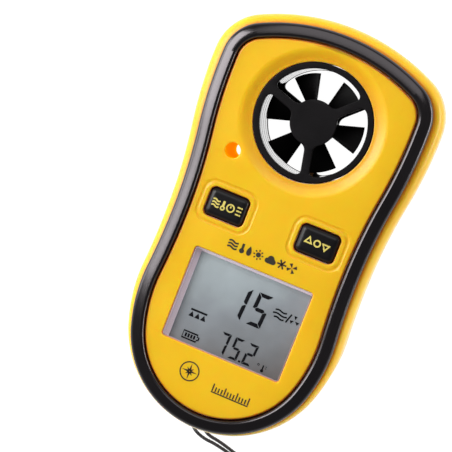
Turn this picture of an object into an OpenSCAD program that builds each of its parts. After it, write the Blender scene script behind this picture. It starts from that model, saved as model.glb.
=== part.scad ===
// Pocket vane anemometer, lying on its back.
// +Z is the front face's normal, +Y runs towards the fan end, and the origin is the middle of the
// flat back. Millimetres.

/* [Face outline] */
// Top edge of the yellow face above the body's middle
face_top = 47; // [46.5:0.5:48]
// Bottom edge of the face, below the middle
face_bottom = -48.3; // [-49:0.1:-48]
// Half width of the face at the fan end
fan_half = 23.2; // [23:0.1:23.6]
// Height of that widest line
fan_wide_y = 33.3; // [32.5:0.1:34]
// Radius of the face's shallow top edge
top_r = 45; // [42:1:48]
// Radius of the two corners at the fan end
corner_r = 6.2; // [5.5:0.1:7]
// Half width of the face at the waist
waist_half = 20.6; // [20.4:0.1:20.8]
// Height of the waist
waist_y = -2.7; // [-4:0.1:-2]
// Half width of the face beside the display
low_half = 21.5; // [21.3:0.1:21.7]
// Height of that wider line
low_wide_y = -22.7; // [-23.5:0.1:-22]
// Radius of the flank beside the display
low_r = 37; // [35:1:40]

/* [Case] */
// Height of the flat front face
face_z = 19.2; // [19:0.1:19.4]
// Crest of the rubber bumper
crest_z = 20; // [19.8:0.1:20.2]
// Width of the rubber bumper
bumper_w = 3.7; // [3.5:0.1:3.8]
// How far the yellow flank stands outside the bumper at the fan end
flare_fan = 2.75; // [2.5:0.05:3]
// The same at the display end
flare_low = 1.45; // [1.3:0.05:1.6]
// Height where the two shells meet
part_z = 9; // [8.9:0.1:9.1]
// Height of the widest line of the flank
flank_z = 13.3; // [13:0.1:13.5]
// Radius of the back's edge
back_r = 4; // [3.5:0.1:4.2]
// Wall of both shells
wall = 1.8; // [1.7:0.1:1.9]

/* [Fan] */
// Height of the fan's axis above the body's middle
fan_y = 28.3; // [28:0.1:28.6]
// Inner radius of the air duct
duct_r = 13.2; // [13:0.1:13.3]
// Wall of the air duct
duct_wall = 1.4; // [1.3:0.1:1.45]
// Radius of the guard's round middle
guard_hub_r = 5.7; // [5.6:0.1:5.8]
// Width of a guard spoke
spoke_w = 2.1; // [1.9:0.1:2.4]
// Number of blades on the impeller
blades = 6; // [4:1:8]
// Radius of the impeller at its blade tips
blade_r = 12.1; // [11.5:0.1:12.3]
// Angle that one blade sweeps, seen from the front
blade_sweep = 33; // [24:1:36]
// Height of a blade along the axis
blade_h = 3.6; // [3:0.1:3.8]

/* [Keys] */
// Distance of each key from the middle line
key_x = 11.9; // [11.5:0.1:12.3]
// Height of the keys
key_y = 1.7; // [1:0.1:2.5]
// Width of a key
key_w = 10; // [9:0.1:10.4]
// Height of a key's outline
key_h = 7.1; // [6.5:0.1:7.4]
// Corner radius of a key
key_r = 1.3; // [1:0.1:1.6]
// Travel of a key
key_travel = 0.3; // [0.2:0.05:0.35]

/* [Display] */
// Width of the display window
window_w = 31.1; // [30:0.1:31.5]
// Height of the display window
window_h = 23.6; // [22.5:0.1:24]
// Middle of the window below the body's middle
window_y = -21.7; // [-22:0.1:-21.4]

/* [Battery] */
// Radius of the coin cell
cell_r = 10; // [10:10]
// Height of the coin cell
cell_h = 3.2; // [3.2:3.2]
// Middle of the battery door below the body's middle
door_y = -21; // [-22:0.5:-20]

/* [Lanyard] */
// Diameter of the wrist string
string_d = 0.9; // [0.8:0.1:1]
// Radius of the bar that the string passes round
bar_r = 1.4; // [1.3:0.1:1.5]

/* [Hidden] */
$fn = 64;

yellow = [0.98, 0.74, 0.08];
black = [0.1, 0.1, 0.11];
steel = [0.75, 0.76, 0.78];
brass = [0.82, 0.66, 0.3];
board_green = [0.08, 0.36, 0.2];

gap = 0.15;              // assembly clearance between two mouldings
end_trim = 0.4;          // how much less the flank stands out at the two ends
bulge_share = 0.44;      // part of the upper flank's sweep that bulges, the rest is hollow

// ---- outline of the face, as a chain of tangent arcs down its right half ----

// Centre of the circle of radius rp+rq that two known circles share, on the left of p to q
function meet(p, rp, q, rq) =
    let (v = q - p, d = norm(v), a = (rp * rp - rq * rq + d * d) / (2 * d), h = sqrt(rp * rp - a * a))
    p + v * a / d + [-v.y, v.x] * h / d;
function heading(v) = atan2(v.y, v.x);
function dir(a) = [cos(a), sin(a)];

upper_sweep = ((fan_wide_y - waist_y) ^ 2 + (fan_half - waist_half) ^ 2)
    / (2 * (fan_half - waist_half));
lower_sweep = ((waist_y - low_wide_y) ^ 2 + (low_half - waist_half) ^ 2)
    / (2 * (low_half - waist_half));
bulge_r = bulge_share * upper_sweep;
hollow_r = upper_sweep - bulge_r;
low_hollow_r = lower_sweep - low_r;
end_reach = low_wide_y - face_bottom;
end_r = (low_r ^ 2 - (low_half - low_r) ^ 2 - end_reach ^ 2) / (2 * (low_r - end_reach));

top_c = [0, face_top - top_r];
bulge_c = [fan_half - bulge_r, fan_wide_y];
corner_c = meet(bulge_c, bulge_r - corner_r, top_c, top_r - corner_r);
hollow_c = [waist_half + hollow_r, waist_y];
low_hollow_c = [waist_half + low_hollow_r, waist_y];
low_c = [low_half - low_r, low_wide_y];
end_c = [0, face_bottom + end_r];

a_top = heading(corner_c - top_c);
a_corner = heading(corner_c - bulge_c);
a_bulge = heading(hollow_c - bulge_c);
a_hollow = heading(low_hollow_c - low_c);
a_low = heading(end_c - low_c);

// Each arc: centre, 1 if it bulges or -1 if it is hollow, radius, first and last normal, steps
arcs = [
    [top_c, 1, top_r, 90, a_top, 5],
    [corner_c, 1, corner_r, a_top, a_corner, 6],
    [bulge_c, 1, bulge_r, a_corner, a_bulge, 4],
    [hollow_c, -1, hollow_r, a_bulge, 0, 3],
    [low_hollow_c, -1, low_hollow_r, 0, a_hollow, 2],
    [low_c, 1, low_r, a_hollow, a_low, 3],
    [end_c, 1, end_r, a_low, -90, 11]
];

function clamp01(t) = max(0, min(1, t));
// How far the flank stands outside the bumper at height y, where the outline's normal is at angle a
function flare(y, a) =
    flare_low + (flare_fan - flare_low) * clamp01((y - face_bottom) / (fan_wide_y - face_bottom))
    - end_trim * abs(sin(a));
// Right half of the outline, moved outwards by d plus f times the flare
function right_half(d, f) = [
    for (s = arcs, i = [0 : s[5] - 1])
        let (a = s[3] + (s[4] - s[3]) * i / s[5], p = s[0] + s[1] * s[2] * dir(a))
        p + (d + f * flare(p.y, a)) * dir(a)
];
function outline(d, f = 0) =
    let (r = right_half(d, f), n = len(r), foot = [0, face_bottom - d - f * flare(face_bottom, 90)])
    concat(r, [foot], [for (i = [n - 1 : -1 : 1]) [-r[i].x, r[i].y]]);

// Closed solid through rings of the outline; each level is [z, d, f]
module loft(levels) {
    rings = [for (l = levels) [for (p = outline(l[1], l[2])) [p.x, p.y, l[0]]]];
    n = len(rings[0]);
    last = len(levels) - 1;
    polyhedron(
        points = [for (r = rings) each r],
        faces = concat(
            [[for (i = [n - 1 : -1 : 0]) i]],
            [for (k = [0 : last - 1], i = [0 : n - 1])
                [k * n + i, k * n + (i + 1) % n, (k + 1) * n + (i + 1) % n, (k + 1) * n + i]],
            [[for (i = [0 : n - 1]) last * n + i]]
        )
    );
}

// A closed section of [d, z] points carried round the outline
module hoop(section) {
    rings = [for (s = section) [for (p = outline(s[0])) [p.x, p.y, s[1]]]];
    n = len(rings[0]);
    m = len(section);
    polyhedron(
        points = [for (r = rings) each r],
        faces = [for (k = [0 : m - 1], i = [0 : n - 1])
            [k * n + i, k * n + (i + 1) % n, ((k + 1) % m) * n + (i + 1) % n, ((k + 1) % m) * n + i]]
    );
}

module block(d, z0, z1, f = 0) {
    translate([0, 0, z0]) linear_extrude(z1 - z0) polygon(outline(d, f));
}

module disc(r, z0, z1) {
    translate([0, 0, z0]) cylinder(r = r, h = z1 - z0);
}

module tube(r_in, r_out, z0, z1) {
    difference() {
        disc(r_out, z0, z1);
        disc(r_in, z0 - 1, z1 + 1);
    }
}

// Rounded rectangle standing from z0 to z1
module pad(w, h, r, z0, z1) {
    translate([0, 0, z0]) linear_extrude(z1 - z0) {
        square([w - 2 * r, h], center = true);
        square([w, h - 2 * r], center = true);
        for (x = [-1, 1], y = [-1, 1])
            translate([x * (w / 2 - r), y * (h / 2 - r)]) circle(r);
    }
}

// The part of u that is square to the unit vector t, brought to length 1
function square_to(u, t) = let (v = u - t * (u * t)) v / norm(v);

// Flat-sided tube swept along a route of [x, y, z] points
module swept(route, d, sides = 8) {
    n = len(route);
    along = [for (i = [0 : n - 1])
        let (v = route[min(i + 1, n - 1)] - route[max(i - 1, 0)]) v / norm(v)];
    across = [for (i = 0, u = square_to([1, 0, 0], along[0]); i < n;
                   i = i + 1, u = i < n ? square_to(u, along[i]) : u) u];
    points = [for (i = [0 : n - 1], k = [0 : sides - 1])
        let (a = 360 * k / sides, up = cross(across[i], along[i]))
        route[i] + d / 2 * (cos(a) * across[i] + sin(a) * up)];
    polyhedron(
        points = points,
        faces = concat(
            [[for (k = [0 : sides - 1]) k]],
            [for (i = [0 : n - 2], k = [0 : sides - 1])
                [i * sides + k, (i + 1) * sides + k,
                 (i + 1) * sides + (k + 1) % sides, i * sides + (k + 1) % sides]],
            [[for (k = [sides - 1 : -1 : 0]) (n - 1) * sides + k]]
        )
    );
}

// ---- shells ----

vent = [-15.6, 15];              // middle of the air temperature port
vent_r = 1.9;
vent_wall = 1.3;
duct_out = duct_r + duct_wall;
bore_r = duct_out + gap;         // hole for the duct in both shells
collar_w = 1.4;
guard_z = 18.1;                  // front of the guard, a little below the face
ring_z = 16.5;                   // where the guard's ring meets the duct
rear_z = 0.8;                    // back of the rear guard
duct_z = 2.4;                    // where the rear guard's ring meets the duct
dish_r = 18.4;                   // outer edge of the dish round the fan
dish_z = 18.7;                   // height of the dish where it meets the bore
groove_z = 16.6;                 // floor of the bumper's groove
ceiling = 17.5;                  // underside of the face
top_screws = [20.2, 40.2];
low_screws = [13.2, -40.8];
screw_sites = [for (s = [top_screws, low_screws], m = [-1, 1]) [m * s.x, s.y]];
boss_r = 2.4;
pilot_r = 1;
head_r = 2;
pocket = [7, 5.8, 5.6];          // notch for the string: along x, y and z
pocket_y = -50.5;
bar_y = -50.8;
bar_z = 5.4;
door_r = 12.2;
tab_r = 13.3;
tab_angle = 30;
door_turn = 45;                  // from locked to open
cup_z = 8.2;                     // top of the battery cup
cup_roof = 1;
leaf_z = 6.5;                    // underside of both contact leaves
leaf_x = 6.5;                    // distance of their tails from the cup's middle

module at(p) {
    translate([p.x, p.y, 0]) children();
}

module at_fan() {
    translate([0, fan_y, 0]) children();
}

module at_door() {
    translate([0, door_y, 0]) children();
}

// Three sectors at the rim of the door, a wide and turned by t from where the tabs rest
module tab_sectors(r, a, t, z0, z1) {
    r_in = door_r - 1.6;
    for (k = [0 : 2])
        rotate([0, 0, 90 + 120 * k - a / 2 + t])
            translate([0, 0, z0])
                rotate_extrude(angle = a) translate([r_in, 0]) square([r - r_in, z1 - z0]);
}

module back_case() {
    edge = [for (t = [0 : 30 : 90])
        [back_r - back_r * cos(t), bumper_w - back_r + back_r * sin(t), 1]];
    inside = bumper_w - wall;
    color(yellow) difference() {
        union() {
            loft(concat(edge, [[part_z, bumper_w, 1], [part_z, inside, 1], [wall, inside, 1]]));
            at_fan() disc(bore_r + collar_w, wall / 2, part_z);
            at(vent) disc(vent_r + vent_wall, wall / 2, part_z);
            for (s = screw_sites) at(s) disc(boss_r, wall / 2, part_z);
            at_door() disc(tab_r + 1.4, wall / 2, cup_z);
            translate([-pocket.x / 2 - 1.2, -51.4, wall / 2])
                cube([pocket.x + 2.4, 5.1, part_z - wall / 2]);
        }
        at_fan() disc(bore_r, -1, part_z + 1);
        at_fan() translate([0, 0, -1])
            cylinder(r1 = bore_r + 2.4, r2 = bore_r, h = 1 + rear_z);
        at(vent) disc(vent_r, -1, part_z + 1);
        at_fan() ribbon_slot(rear_z + 1, part_z + 1, 0.6);
        for (s = screw_sites) at(s) {
            disc(pilot_r + 0.3, -1, part_z + 1);
            disc(head_r + 0.2, -1, 3.2);
        }
        at_door() {
            disc(door_r + 0.2, -1, wall + 1);
            disc(tab_r + 0.3, wall, 3);
            disc(cell_r + 0.5, wall, cup_z - cup_roof);
            tab_sectors(tab_r + 0.3, tab_angle + 6, -door_turn, -1, wall + 0.5);
            for (m = [-1, 1]) translate([m * leaf_x - 1, -1, cup_z - cup_roof - 0.2]) cube([2, 2, 2]);
        }
        translate([-pocket.x / 2, pocket_y - pocket.y / 2 - 1, bar_z - pocket.z / 2])
            cube([pocket.x, pocket.y + 1, pocket.z]);
        translate([-4.4, bar_y, bar_z]) rotate([0, 90, 0]) cylinder(r = bar_r, h = 8.8);
    }
}

module front_case() {
    flank_h = groove_z - flank_z;
    flank = [for (t = [0 : 22.5 : 90]) [flank_z + flank_h * sin(t), bumper_w, cos(t)]];
    lip = 0.5;
    rim = [for (t = [0 : 45 : 90]) [face_z - lip + lip * sin(t), -gap - lip + lip * cos(t), 0]];
    inside = bumper_w - wall;
    shoulder_z = 14.8;
    color(yellow) difference() {
        union() {
            loft(concat(
                [[ceiling, -wall - gap, 0], [shoulder_z, -wall - gap, 0], [shoulder_z, inside, 1],
                 [part_z, inside, 1], [part_z, bumper_w, 1]],
                flank, [[groove_z, -gap, 0]], rim
            ));
            at_fan() disc(bore_r + collar_w, part_z, ceiling + 0.5);
            at(vent) disc(vent_r + vent_wall, part_z, ceiling + 0.5);
            for (s = screw_sites) at(s) disc(boss_r, part_z, 15.2);
            for (s = board_sites) at(s) disc(1.9, board_top, ceiling + 0.5);
        }
        at_fan() disc(bore_r, part_z - 1, face_z + 1);
        at_fan() rotate_extrude() polygon([
            [bore_r - 1, dish_z],
            for (t = [0 : 15 : 90])
                [bore_r + (dish_r - bore_r) * t / 90, dish_z + (face_z - dish_z) * (1 - cos(2 * t)) / 2],
            [dish_r, face_z + 1], [bore_r - 1, face_z + 1]
        ]);
        at(vent) disc(vent_r, part_z - 1, face_z + 1);
        at([vent.x, vent.y - vent_r - 0.8]) translate([-1.1, -1.2, part_z - 1]) cube([2.2, 2.4, 4]);
        at_fan() ribbon_slot(part_z - 1, board_bottom + 0.4, collar_w + 0.5);
        for (s = screw_sites) at(s) disc(pilot_r, part_z - 1, 13.6);
        for (s = board_sites) at(s) disc(board_screw_r, board_top - 1, 16);
        for (m = [-1, 1]) translate([m * key_x, key_y, 0]) {
            pad(key_w + 0.4, key_h + 0.4, key_r + 0.2, ceiling - 1, face_z + 1);
            difference() {
                pad(14.2, 11, 3.2, face_z - 0.35, face_z + 1);
                pad(13, 9.8, 2.6, face_z - 1, face_z + 2);
            }
        }
        translate([0, window_y, 0]) pad(window_w, window_h, 0.8, ceiling - 1, face_z + 1);
    }
}

// Band with a long slope outwards, a tight outer shoulder and a round inner edge
module bumper_band() {
    r_in = 0.9;
    crest_d = gap + r_in;        // where the crest runs, outwards from the face's edge
    sag = 0.7;
    shoulder = 1.5;
    bluntness = 4;
    foot = groove_z + 0.02;
    outer = [for (t = [0 : 15 : 90])
        let (x = cos(t) ^ (2 / bluntness), rise = sin(t) ^ (2 / bluntness))
        [crest_d + (bumper_w - crest_d) * x, crest_z - sag * x - shoulder * (1 - rise)]];
    inner = [for (t = [112.5 : 22.5 : 180]) [crest_d + r_in * cos(t), crest_z - r_in + r_in * sin(t)]];
    color(black) hoop(concat([[gap, foot], [bumper_w, foot]], outer, inner));
}

// ---- fan ----

spoke_angles = [43, 162, 282];
blade_z = 12.3;                  // lower edge of the blades
rotor_hub_r = 5.4;
rotor_z = 11.6;
rotor_top = 15.7;
shaft_r = 0.5;
shaft_play = 0.03;
bearing_r = 1.2;
rear_hub_r = 4.6;
rear_hub_top = 10.8;
sensor_r = 3;                    // distance of the sensor's middle from the axis
ribbon_w = 1.3;

// Room for the sensor's ribbon in a wall outside the duct
module ribbon_slot(z0, z1, deep) {
    rotate([0, 0, spoke_angles[2]])
        translate([bore_r - 0.5, -ribbon_w / 2 - 0.35, z0])
            cube([deep + 0.5, ribbon_w + 0.7, z1 - z0]);
}

module fan_duct() {
    color(black) at_fan() difference() {
        tube(duct_r, duct_out, duct_z, ring_z);
        rotate([0, 0, spoke_angles[2]])
            translate([duct_r - 1, -ribbon_w / 2 - 0.35, duct_z - 1]) cube([3, ribbon_w + 0.7, 1.5]);
    }
}

// Ring, three spokes and a hub; the ring and the hub face z_face
module guard(z_face, z_ring, spoke_z0, spoke_z1, hub_r) {
    tube(duct_r, duct_out, min(z_face, z_ring), max(z_face, z_ring));
    intersection() {
        disc(duct_out - 0.2, spoke_z0, spoke_z1);
        union() {
            for (a = spoke_angles) rotate([0, 0, a]) {
                translate([0, -spoke_w / 2, spoke_z0]) cube([duct_out, spoke_w, spoke_z1 - spoke_z0]);
                translate([hub_r - 0.9, 0, spoke_z0]) linear_extrude(spoke_z1 - spoke_z0)
                    polygon([[0, -spoke_w / 2 - 1], [0, spoke_w / 2 + 1], [2.4, spoke_w / 2],
                             [2.4, -spoke_w / 2]]);
            }
        }
    }
}

module fan_guard_front() {
    color(black) at_fan() difference() {
        union() {
            guard(guard_z, ring_z, 16.9, 18, guard_hub_r);
            disc(guard_hub_r, 16.4, 18);
            disc(2.2, 15.9, 16.6);
        }
        disc(bearing_r, 15, 17.3);
    }
}

module fan_guard_rear() {
    color(black) at_fan() difference() {
        union() {
            guard(rear_z, duct_z, 1, duct_z, rear_hub_r);
            disc(rear_hub_r, 1, rear_hub_top);
        }
        disc(bearing_r, rear_hub_top - 1.4, rear_hub_top + 1);
        rotate([0, 0, spoke_angles[2]]) translate([0, 0, rear_hub_top - 1.5]) {
            translate([sensor_r - 0.8, -1.6, 0]) cube([1.6, 3.2, 2]);
            translate([sensor_r, -ribbon_w / 2 - 0.1, 0]) cube([3, ribbon_w + 0.2, 2]);
        }
    }
}

module impeller() {
    color(black) at_fan() difference() {
        union() {
            tube(shaft_r, rotor_hub_r, rotor_z, rotor_top);
            for (k = [0 : blades - 1])
                rotate([0, 0, 360 / blades * k + blade_sweep / 2])
                    translate([0, 0, blade_z + blade_h / 2])
                        linear_extrude(blade_h, center = true, twist = blade_sweep, slices = 8, $fn = 4)
                            translate([rotor_hub_r - 0.3, -0.35])
                                square([blade_r - rotor_hub_r + 0.3, 0.7]);
        }
        disc(3.2, rotor_z - 1, rotor_z + 1.6);
    }
}

module impeller_shaft() {
    color(steel) at_fan() disc(shaft_r, rear_hub_top - 1.2, 17);
}

module rotor_magnet() {
    color([0.35, 0.35, 0.37]) at_fan() tube(shaft_r, 3.15, rotor_z, rotor_z + 1.6);
}

module bearing_front() {
    color(brass) at_fan() tube(shaft_r + shaft_play, bearing_r, 15.9, 17.1);
}

module bearing_rear() {
    color(brass) at_fan() tube(shaft_r + shaft_play, bearing_r, rear_hub_top - 1.4, rear_hub_top - 0.2);
}

module hall_sensor() {
    color([0.15, 0.15, 0.16]) at_fan() rotate([0, 0, spoke_angles[2]])
        translate([sensor_r - 0.7, -1.5, rear_hub_top - 1.5]) cube([1.4, 3, 1.2]);
}

// Flat lead from the sensor, down the hub, along a spoke, through the duct's notch and up to the board
module sensor_ribbon() {
    thick = 0.25;
    down = rear_hub_r + 0.05;
    up = bore_r + 0.05;
    low = duct_z + 0.05;
    top = rear_hub_top - 0.9;
    legs = [
        [sensor_r + 0.7, down + thick, top - thick, top],
        [down, down + thick, low, top],
        [down, up + thick, low, low + thick],
        [up, up + thick, low, board_bottom],
        [up, up + 4.4, board_bottom - thick, board_bottom]
    ];
    color([0.75, 0.45, 0.15]) at_fan() rotate([0, 0, spoke_angles[2]])
        for (leg = legs)
            translate([leg[0], -ribbon_w / 2, leg[2]]) cube([leg[1] - leg[0], ribbon_w, leg[3] - leg[2]]);
}

// ---- board and what it carries ----

board_top = 12;
board_bottom = 11;
board_upper = 10.4;              // top edge of the board, under the duct
board_lower = -44.2;
board_sites = [[17.4, 8.4], [-17.4, 8.4]];
board_screw_r = 0.7;

module main_board() {
    color(board_green) difference() {
        intersection() {
            block(-0.9, board_bottom, board_top);
            translate([-30, board_lower, board_bottom - 1]) cube([60, board_upper - board_lower, 3]);
        }
        for (s = screw_sites) at(s) disc(boss_r + 0.5, board_bottom - 1, board_top + 1);
        for (s = board_sites) at(s) disc(board_screw_r + 0.2, board_bottom - 1, board_top + 1);
        at(vent) disc(vent_r + vent_wall + 0.5, board_bottom - 1, board_top + 1);
    }
}

module controller_chip() {
    color([0.12, 0.12, 0.13]) translate([-5, -2, board_bottom - 1.4]) cube([10, 10, 1.4]);
}

module clock_crystal() {
    color(steel) translate([9, 2, board_bottom - 1]) rotate([-90, 0, 0]) cylinder(r = 1, h = 6);
}

module board_components() {
    parts = [[-11, 4, 2], [-11, 0.5, 2], [-11, -3, 2], [-15, 2, 3.2], [7, -4.2, 3.2], [12.5, 4, 2],
             [12.5, 0, 2], [15, -4, 1.6], [-15, -4, 1.6]];
    color([0.6, 0.52, 0.4])
        for (p = parts) translate([p[0], p[1], board_bottom - 0.8]) cube([p[2], p[2] / 2, 0.8]);
}

module board_screws() {
    color(steel) for (s = board_sites) at(s) {
        disc(board_screw_r - 0.05, board_bottom - 0.2, 15.8);
        disc(1.4, board_bottom - 0.9, board_bottom);
    }
}

// Bead in the slot of the port's wall, on two leads from the board
module thermistor() {
    lead_r = 0.15;
    bead = [vent.x, vent.y - vent_r - 0.9, board_bottom - lead_r];
    color([0.1, 0.12, 0.3]) {
        translate(bead) sphere(r = 0.8);
        for (m = [-1, 1])
            translate(bead + [m * 0.4, -3.4, 0]) rotate([-90, 0, 0]) cylinder(r = lead_r, h = 3.2);
    }
}

// ---- display ----

glass_top = 16.4;
glass_bottom = 14.2;
glass_w = 33;
glass_h = 24.8;
frame_w = 34.2;
frame_h = 26.4;
frame_rise = 4.8;                // height of the frame above the board
frame_play = 0.1;                // between the glass and its frame, on each side
strip_l = 30;                    // length of a contact strip
strip_w = 2;
strip_y = 11;                    // distance of both strips from the window's middle
view_x = -14;                    // lower left corner of the frame's opening
view_y = -12.1;
view_w = 30.1;
view_h = 22.9;
flange = 1;                      // how far the window's flange reaches behind the face

module display_window() {
    color([0.8, 0.85, 0.9, 0.4]) translate([0, window_y, 0]) {
        pad(window_w - 0.2, window_h - 0.2, 0.7, ceiling - 0.6, face_z - 0.35);
        pad(window_w + 2 * flange, window_h + 2 * flange, 0.8, ceiling - 0.6, ceiling);
    }
}

module display_frame() {
    color([0.8, 0.78, 0.82]) translate([0, window_y, 0]) difference() {
        translate([-frame_w / 2, -frame_h / 2, board_top]) cube([frame_w, frame_h, frame_rise]);
        translate([-glass_w / 2 - frame_play, -glass_h / 2 - frame_play, board_top - 1])
            cube([glass_w + 2 * frame_play, glass_h + 2 * frame_play, glass_top - board_top + 1]);
        translate([view_x, view_y, board_top]) cube([view_w, view_h, 6]);
    }
}

module display_glass() {
    color([0.62, 0.68, 0.64]) translate([0, window_y, glass_bottom])
        translate([-glass_w / 2, -glass_h / 2, 0]) cube([glass_w, glass_h, glass_top - glass_bottom]);
}

module display_polariser() {
    color([0.6, 0.65, 0.62]) translate([0, window_y, glass_top])
        translate([view_x + 0.1, view_y + 0.1, 0]) cube([view_w - 0.2, view_h - 0.2, 0.15]);
}

module contact_strip(y) {
    color([0.3, 0.3, 0.32]) translate([-strip_l / 2, window_y + y - strip_w / 2, board_top])
        cube([strip_l, strip_w, glass_bottom - board_top]);
}

module contact_strip_upper() {
    contact_strip(strip_y);
}

module contact_strip_lower() {
    contact_strip(-strip_y);
}

// ---- keys ----

flange_top = 17.2;
flange_bottom = 16.4;
switch_top = 13.6;
stem_bottom = 12.95;
stem_top = 14.4;
key_top = 19.8;

module key() {
    color(black) {
        pad(key_w, key_h, key_r, flange_bottom + 0.1, key_top - 0.55);
        pad(key_w - 0.5, key_h - 0.5, key_r - 0.1, key_top - 0.55, key_top - 0.2);
        pad(key_w - 1.6, key_h - 1.6, key_r - 0.3, key_top - 0.2, key_top);
        pad(key_w + 1.8, key_h + 1.8, key_r + 0.4, flange_bottom, flange_top);
        disc(1.6, stem_top, flange_bottom + 0.1);
    }
}

module key_switch() {
    color([0.2, 0.2, 0.22]) difference() {
        pad(5, 5, 0.4, board_top, switch_top);
        disc(1.1, stem_bottom - key_travel - 0.05, switch_top + 1);
    }
}

module switch_stem() {
    color([0.85, 0.82, 0.75]) disc(1, stem_bottom, stem_top);
}

module mode_button() {
    translate([-key_x, key_y, 0]) key();
}

module set_button() {
    translate([key_x, key_y, 0]) key();
}

module mode_switch() {
    translate([-key_x, key_y, 0]) key_switch();
}

module set_switch() {
    translate([key_x, key_y, 0]) key_switch();
}

module mode_switch_stem() {
    translate([-key_x, key_y, 0]) switch_stem();
}

module set_switch_stem() {
    translate([key_x, key_y, 0]) switch_stem();
}

// ---- battery ----

cell_z = 3.1;

module battery_cell() {
    color(steel) at_door() {
        disc(cell_r, cell_z + 0.3, cell_z + cell_h);
        disc(cell_r - 1.2, cell_z, cell_z + 0.3);
    }
}

// Leaf against the cell's top, with its tail through the cup's slot to the board
module battery_spring() {
    color(steel) at_door() translate([leaf_x, -0.8, leaf_z]) {
        translate([-leaf_x, 0, 0]) cube([leaf_x + 0.7, 1.6, 0.3]);
        translate([0.2, 0, 0]) cube([0.5, 1.6, board_bottom - leaf_z]);
    }
}

module battery_clip() {
    color(steel) at_door() translate([-leaf_x, -0.8, leaf_z]) {
        translate([-3.3, 0, 0]) cube([4, 1.6, 0.3]);
        translate([-0.7, 0, 0]) cube([0.5, 1.6, board_bottom - leaf_z]);
    }
}

// Quarter-turn lid with a coin slot and a small dimple that shows where it is locked
module battery_door() {
    slot_half = 5;
    slot_w = 1.8;
    inner_top = 2.8;
    color(yellow) at_door() difference() {
        union() {
            disc(door_r, 0, wall);
            disc(door_r - 0.8, wall / 2, inner_top);
            tab_sectors(tab_r, tab_angle, 0, wall + 0.1, inner_top - 0.1);
        }
        translate([-slot_half, -slot_w / 2, -1]) cube([2 * slot_half, slot_w, 2]);
        for (m = [-1, 1]) translate([m * slot_half, 0, 0]) disc(slot_w / 2, -1, 1);
        rotate([0, 0, 90]) translate([door_r - 1.8, 0, 0]) disc(0.6, -1, 0.4);
    }
}

module case_screws() {
    color(steel) for (s = screw_sites) at(s) difference() {
        union() {
            disc(pilot_r - 0.05, 2, 13.2);
            disc(head_r, 1.8, 3.2);
        }
        for (a = [0, 90]) rotate([0, 0, a]) translate([-1.2, -0.25, 1]) cube([2.4, 0.5, 1.5]);
    }
}

// ---- wrist string ----

module lanyard_bar() {
    color(black) translate([-4.4, bar_y, bar_z]) rotate([0, 90, 0]) cylinder(r = bar_r, h = 8.8);
}

lie = string_d / 2;
coil_c = [16, -70];
coil_out = 11.2;
coil_in = 4.2;
upper_route = [
    [0, -48.9, 5.4], [-0.4, -49.5, 6.8], [-0.7, -50.8, 7.3], [-1, -52.3, 6.9], [-1.2, -53.7, 5.7],
    [-1.3, -54.8, 4.1], [-1.1, -55.8, 2.3], [-0.5, -56.6, 1.1], [0.6, -57.3, lie],
    [2.6, -57.8, lie], [5, -58, lie], [8, -58.5, lie], [11, -59.2, lie], [14, -59.9, lie],
    [16.5, -60.3, lie]
];
lower_route = [
    [0, -48.9, 5.4], [0.4, -49.5, 4], [0.7, -50.8, 3.5], [1, -52.4, 3.2], [1.2, -53.8, 2.6],
    [1.5, -55, 1.5], [2.2, -56, 0.7], [3.6, -56.6, lie], [5.6, -56.9, lie], [8, -57.4, lie],
    [11, -58.2, lie], [14, -58.9, lie], [16.5, -59.3, lie]
];

// Points of a smooth curve through a route, with k steps between neighbours
function smooth(p, k) =
    let (n = len(p))
    [for (i = [0 : n - 2], j = [0 : (i == n - 2 ? k : k - 1)])
        let (t = j / k, a = p[max(i - 1, 0)], b = p[i], c = p[i + 1], d = p[min(i + 2, n - 1)])
        0.5 * (2 * b + (c - a) * t + (2 * a - 5 * b + 4 * c - d) * t ^ 2
               + (3 * b - a - 3 * c + d) * t ^ 3)];

module string_upper() {
    color(black) swept(smooth(upper_route, 2), string_d);
}

module string_lower() {
    color(black) swept(smooth(lower_route, 2), string_d);
}

module string_coil() {
    color(black) at(coil_c) tube(coil_in, coil_out, 0, string_d);
}

module string_knot() {
    color(black) at(coil_c) {
        disc(1.7, 0, 1.6);
        disc(1.2, 1.6, 2.2);
    }
}

back_case();
front_case();
bumper_band();
fan_duct();
fan_guard_front();
fan_guard_rear();
impeller();
impeller_shaft();
rotor_magnet();
bearing_front();
bearing_rear();
hall_sensor();
sensor_ribbon();
thermistor();
main_board();
controller_chip();
clock_crystal();
board_components();
board_screws();
display_window();
display_frame();
display_glass();
display_polariser();
contact_strip_upper();
contact_strip_lower();
mode_button();
set_button();
mode_switch();
set_switch();
mode_switch_stem();
set_switch_stem();
battery_cell();
battery_spring();
battery_clip();
battery_door();
case_screws();
lanyard_bar();
string_upper();
string_lower();
string_coil();
string_knot();
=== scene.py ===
"""Pocket vane anemometer lying on its back: camera, string, detailed visible pieces, materials and light."""
import math

import bmesh
import bpy
from mathutils import Matrix, Vector
from mathutils.geometry import tessellate_polygon


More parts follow.
